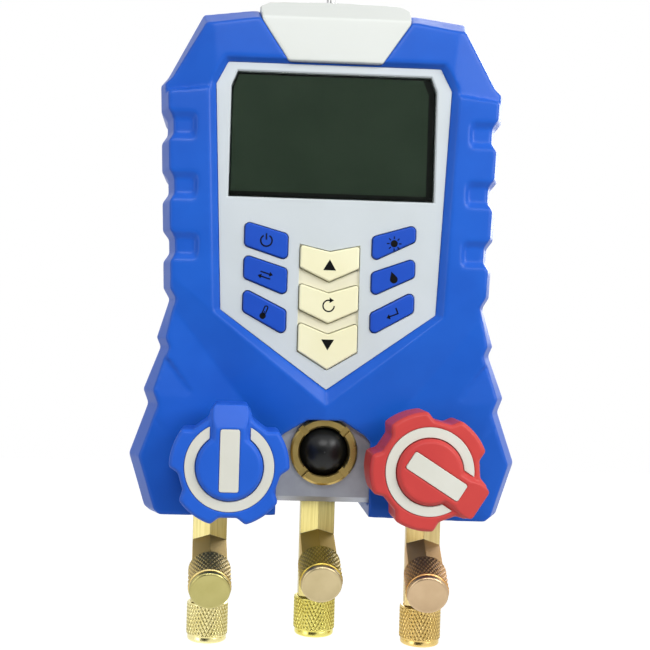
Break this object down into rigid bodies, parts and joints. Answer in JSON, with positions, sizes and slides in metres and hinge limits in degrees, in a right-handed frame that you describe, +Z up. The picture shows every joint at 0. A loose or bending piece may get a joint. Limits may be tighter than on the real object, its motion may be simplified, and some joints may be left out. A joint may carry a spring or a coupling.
{
  "type": "refrigerant manifold gauge",
  "caption": "Digital refrigerant manifold gauge with a display and keys in a rubber boot, a valve block with knobs, capped flare ports and a hanging hook.",
  "frame": {"origin": "inside top of the hook's bow, where it rests on what it hangs from", "axes": "+Z up along the hook's shank, the display faces -Y, +X to the right of someone reading it"},
  "size_m": [0.1404, 0.0717, 0.2826],
  "materials": {
    "shield_plastic": "fine satin moulding",
    "white_plastic": "smooth moulding",
    "rear_plastic": "fine spark texture",
    "boot_rubber": "satin soft moulding",
    "window": "polished",
    "liquid_crystal": "dark, unlit",
    "board": "solder mask",
    "key_silicone": "matte moulding",
    "cream_plastic": "satin moulding",
    "cell_wrap": "printed wrap",
    "steel": "plated",
    "polished_steel": "bright drawn wire",
    "black_plastic": "smooth moulding",
    "block_aluminium": "satin anodised",
    "brass": "turned and knurled",
    "sight_glass": "domed, dark chamber behind",
    "black_rubber": "matte",
    "key_silicone_blue": "satin moulding",
    "chevron_silicone": "satin moulding",
    "blue_knob_plastic": "satin moulding",
    "red_knob_plastic": "satin moulding",
    "inlay_plastic": "satin moulding"
  },
  "bodies": {
    "housing": {"front_cover": "shield_plastic", "top_cap": "white_plastic", "rear_cover": "rear_plastic", "rubber_boot": "boot_rubber", "display_window": "window", "display_panel": "liquid_crystal", "display_frame": "white_plastic", "circuit_board": "board", "keypad_mat": "key_silicone", "centre_key_bezel": "cream_plastic", "batteries": "cell_wrap", "battery_contacts": "steel", "cover_screws": "steel", "block_screws": "steel", "hook_bush": "steel", "probe_sockets": "black_plastic", "manifold_block": "block_aluminium", "sight_glass_ring": "brass", "sight_glass_lens": "sight_glass", "sight_glass_seal": "black_rubber", "bonnet_seals": "black_rubber", "low_pressure_sensor": "steel", "high_pressure_sensor": "steel", "low_valve_bonnet": "brass", "high_valve_bonnet": "brass", "left_port_fitting": "brass", "centre_port_fitting": "brass", "right_port_fitting": "brass"},
    "hook_body": {"hook": "polished_steel"},
    "battery_door_body": {"battery_door": "rear_plastic"},
    "power_key_body": {"power_key": "key_silicone_blue"},
    "unit_key_body": {"unit_key": "key_silicone_blue"},
    "temperature_key_body": {"temperature_key": "key_silicone_blue"},
    "light_key_body": {"light_key": "key_silicone_blue"},
    "leak_key_body": {"leak_key": "key_silicone_blue"},
    "enter_key_body": {"enter_key": "key_silicone_blue"},
    "up_key_body": {"up_key": "chevron_silicone"},
    "reset_key_body": {"reset_key": "chevron_silicone"},
    "down_key_body": {"down_key": "chevron_silicone"},
    "low_piston_body": {"low_valve_piston": "brass"},
    "low_knob_body": {"low_knob": "blue_knob_plastic", "low_valve_stem": "steel", "low_knob_inlay": "inlay_plastic"},
    "high_piston_body": {"high_valve_piston": "brass"},
    "high_knob_body": {"high_knob": "red_knob_plastic", "high_valve_stem": "steel", "high_knob_inlay": "inlay_plastic"},
    "left_front_seal_body": {"left_front_cap_seal": "black_rubber"},
    "left_front_cap_body": {"left_front_cap": "brass"},
    "left_lower_seal_body": {"left_lower_cap_seal": "black_rubber"},
    "left_lower_cap_body": {"left_lower_cap": "brass"},
    "centre_front_seal_body": {"centre_front_cap_seal": "black_rubber"},
    "centre_front_cap_body": {"centre_front_cap": "brass"},
    "centre_lower_seal_body": {"centre_lower_cap_seal": "black_rubber"},
    "centre_lower_cap_body": {"centre_lower_cap": "brass"},
    "right_front_seal_body": {"right_front_cap_seal": "black_rubber"},
    "right_front_cap_body": {"right_front_cap": "brass"},
    "right_lower_seal_body": {"right_lower_cap_seal": "black_rubber"},
    "right_lower_cap_body": {"right_lower_cap": "brass"}
  },
  "joints": [
    {"name": "hook_swivel", "type": "hinge", "parent": "housing", "child": "hook_body", "pos_m": [0, 0, -0.04156], "axis": [0, 0, 1], "continuous": true},
    {"name": "battery_door_hinge", "type": "hinge", "parent": "housing", "child": "battery_door_body", "pos_m": [0, 0.0175, -0.14086], "axis": [-1, 0, 0], "range_deg": [0, 60]},
    {"name": "power_key_press", "type": "slide", "parent": "housing", "child": "power_key_body", "axis": [0, 1, 0], "range_m": [0, 0.0012], "stiffness_N_per_m": 400},
    {"name": "unit_key_press", "type": "slide", "parent": "housing", "child": "unit_key_body", "axis": [0, 1, 0], "range_m": [0, 0.0012], "stiffness_N_per_m": 400},
    {"name": "temperature_key_press", "type": "slide", "parent": "housing", "child": "temperature_key_body", "axis": [0, 1, 0], "range_m": [0, 0.0012], "stiffness_N_per_m": 400},
    {"name": "light_key_press", "type": "slide", "parent": "housing", "child": "light_key_body", "axis": [0, 1, 0], "range_m": [0, 0.0012], "stiffness_N_per_m": 400},
    {"name": "leak_key_press", "type": "slide", "parent": "housing", "child": "leak_key_body", "axis": [0, 1, 0], "range_m": [0, 0.0012], "stiffness_N_per_m": 400},
    {"name": "enter_key_press", "type": "slide", "parent": "housing", "child": "enter_key_body", "axis": [0, 1, 0], "range_m": [0, 0.0012], "stiffness_N_per_m": 400},
    {"name": "up_key_press", "type": "slide", "parent": "housing", "child": "up_key_body", "axis": [0, 1, 0], "range_m": [0, 0.0012], "stiffness_N_per_m": 400},
    {"name": "reset_key_press", "type": "slide", "parent": "housing", "child": "reset_key_body", "axis": [0, 1, 0], "range_m": [0, 0.0012], "stiffness_N_per_m": 400},
    {"name": "down_key_press", "type": "slide", "parent": "housing", "child": "down_key_body", "axis": [0, 1, 0], "range_m": [0, 0.0012], "stiffness_N_per_m": 400},
    {"name": "low_piston_travel", "type": "slide", "parent": "housing", "child": "low_piston_body", "axis": [0, -1, 0], "range_m": [0, 0.003]},
    {"name": "low_knob_turn", "type": "hinge", "parent": "low_piston_body", "child": "low_knob_body", "pos_m": [-0.0338, -0.026, -0.20786], "axis": [0, -1, 0], "range_deg": [0, 720]},
    {"name": "high_piston_travel", "type": "slide", "parent": "housing", "child": "high_piston_body", "axis": [0, -1, 0], "range_m": [0, 0.003]},
    {"name": "high_knob_turn", "type": "hinge", "parent": "high_piston_body", "child": "high_knob_body", "pos_m": [0.0338, -0.026, -0.20786], "axis": [0, -1, 0], "range_deg": [0, 720]},
    {"name": "left_front_cap_lift", "type": "slide", "parent": "housing", "child": "left_front_seal_body", "axis": [0.0328, -0.9391, -0.342], "range_m": [0, 0.0089]},
    {"name": "left_front_cap_turn", "type": "hinge", "parent": "left_front_seal_body", "child": "left_front_cap_body", "pos_m": [-0.0404, -0.002, -0.24336], "axis": [0.0328, -0.9391, -0.342], "range_deg": [0, 2520]},
    {"name": "left_lower_cap_lift", "type": "slide", "parent": "housing", "child": "left_lower_seal_body", "axis": [0, 0, -1], "range_m": [0, 0.0089]},
    {"name": "left_lower_cap_turn", "type": "hinge", "parent": "left_lower_seal_body", "child": "left_lower_cap_body", "pos_m": [-0.0404, -0.002, -0.24336], "axis": [0, 0, -1], "range_deg": [0, 2520]},
    {"name": "centre_front_cap_lift", "type": "slide", "parent": "housing", "child": "centre_front_seal_body", "axis": [0, -0.9397, -0.342], "range_m": [0, 0.0089]},
    {"name": "centre_front_cap_turn", "type": "hinge", "parent": "centre_front_seal_body", "child": "centre_front_cap_body", "pos_m": [0, -0.002, -0.24036], "axis": [0, -0.9397, -0.342], "range_deg": [0, 2520]},
    {"name": "centre_lower_cap_lift", "type": "slide", "parent": "housing", "child": "centre_lower_seal_body", "axis": [0, 0, -1], "range_m": [0, 0.0089]},
    {"name": "centre_lower_cap_turn", "type": "hinge", "parent": "centre_lower_seal_body", "child": "centre_lower_cap_body", "pos_m": [0, -0.002, -0.24036], "axis": [0, 0, -1], "range_deg": [0, 2520]},
    {"name": "right_front_cap_lift", "type": "slide", "parent": "housing", "child": "right_front_seal_body", "axis": [-0.0819, -0.9361, -0.342], "range_m": [0, 0.0089]},
    {"name": "right_front_cap_turn", "type": "hinge", "parent": "right_front_seal_body", "child": "right_front_cap_body", "pos_m": [0.0404, -0.002, -0.24336], "axis": [-0.0819, -0.9361, -0.342], "range_deg": [0, 2520]},
    {"name": "right_lower_cap_lift", "type": "slide", "parent": "housing", "child": "right_lower_seal_body", "axis": [0, 0, -1], "range_m": [0, 0.0089]},
    {"name": "right_lower_cap_turn", "type": "hinge", "parent": "right_lower_seal_body", "child": "right_lower_cap_body", "pos_m": [0.0404, -0.002, -0.24336], "axis": [0, 0, -1], "range_deg": [0, 2520]}
  ],
  "couplings": [
    {"joint": "low_piston_travel", "follows": "low_knob_turn", "m_per_rad": 0.00023873},
    {"joint": "high_piston_travel", "follows": "high_knob_turn", "m_per_rad": 0.00023873},
    {"joint": "left_front_cap_lift", "follows": "left_front_cap_turn", "m_per_rad": 0.00020213},
    {"joint": "left_lower_cap_lift", "follows": "left_lower_cap_turn", "m_per_rad": 0.00020213},
    {"joint": "centre_front_cap_lift", "follows": "centre_front_cap_turn", "m_per_rad": 0.00020213},
    {"joint": "centre_lower_cap_lift", "follows": "centre_lower_cap_turn", "m_per_rad": 0.00020213},
    {"joint": "right_front_cap_lift", "follows": "right_front_cap_turn", "m_per_rad": 0.00020213},
    {"joint": "right_lower_cap_lift", "follows": "right_lower_cap_turn", "m_per_rad": 0.00020213}
  ]
}
